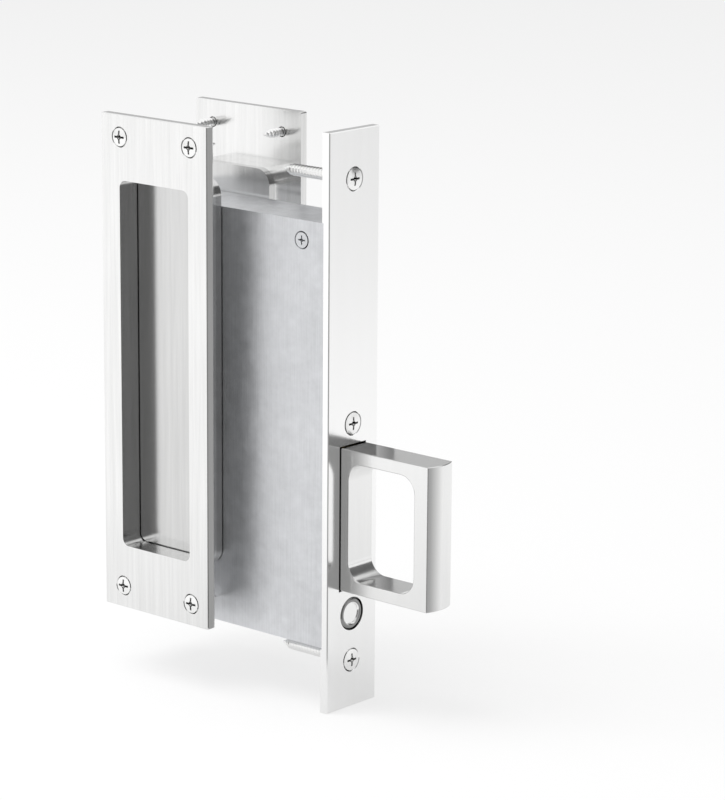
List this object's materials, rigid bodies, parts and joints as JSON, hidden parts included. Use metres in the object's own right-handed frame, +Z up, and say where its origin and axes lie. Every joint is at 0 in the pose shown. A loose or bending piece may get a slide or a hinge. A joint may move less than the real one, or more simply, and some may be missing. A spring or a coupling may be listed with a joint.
{
  "type": "pocket door edge pull and flush pull set",
  "caption": "Pocket door pull set: mortise case behind a narrow edge plate, loop pull that springs out of the door edge at a button press, and a recessed flush pull on each door face.",
  "frame": {"origin": "centre of the front plate's rear face, midway between its two end screws", "axes": "+X out of the door edge, the way the edge pull springs out; +Y across the door from the near face to the far face; +Z up along the door edge"},
  "size_m": [0.1359, 0.0514, 0.2032],
  "materials": {
    "satin_stainless": "satin brushed stainless steel, fine lines up and down",
    "screw_stainless": "turned stainless steel",
    "plated_steel": "zinc plated steel sheet and bar",
    "guide_brass": "machined brass",
    "buffer_rubber": "black rubber strip",
    "spring_steel": "bright spring steel",
    "black_steel": "blackened alloy steel"
  },
  "bodies": {
    "housing": {"front_plate": "satin_stainless", "front_plate_screws": "screw_stainless", "front_plate_machine_screw": "screw_stainless", "case_body": "plated_steel", "case_cover": "plated_steel", "case_cover_screws": "plated_steel", "case_fixing_screws": "plated_steel", "cover_posts": "plated_steel", "front_block": "plated_steel", "upper_guide": "guide_brass", "lower_guide": "guide_brass", "stop_buffers": "buffer_rubber", "spring_abutment": "plated_steel", "ejector_spring": "spring_steel", "button_spring": "spring_steel", "button_bracket": "guide_brass", "lever_pin": "spring_steel", "lever_spring": "spring_steel", "near_pull_frame": "satin_stainless", "near_pull_back": "satin_stainless", "near_pull_screws": "screw_stainless", "far_pull_frame": "satin_stainless", "far_pull_back": "satin_stainless", "far_pull_screws": "screw_stainless"},
    "pull": {"edge_pull": "satin_stainless", "pull_carriage": "plated_steel", "carriage_screws": "black_steel", "spring_rod": "spring_steel"},
    "button": {"release_button": "satin_stainless"},
    "latch": {"latch_lever": "plated_steel"}
  },
  "joints": [
    {"name": "pull_slide", "type": "slide", "parent": "housing", "child": "pull", "axis": [1, 0, 0], "range_m": [-0.039, 0], "stiffness_N_per_m": 150, "springref_m": 0.012, "deforming": ["ejector_spring"]},
    {"name": "button_press", "type": "slide", "parent": "housing", "child": "button", "axis": [1, 0, 0], "range_m": [-0.0025, 0], "stiffness_N_per_m": 700, "springref_m": 0.001, "deforming": ["button_spring"]},
    {"name": "latch_tilt", "type": "hinge", "parent": "housing", "child": "latch", "pos_m": [-0.085, 0, -0.0664], "axis": [0, 1, 0], "range_deg": [0, 2.2], "deforming": ["lever_spring"]}
  ],
  "couplings": [
    {"joint": "latch_tilt", "follows": "button_press", "rad_per_m": -14.71}
  ]
}
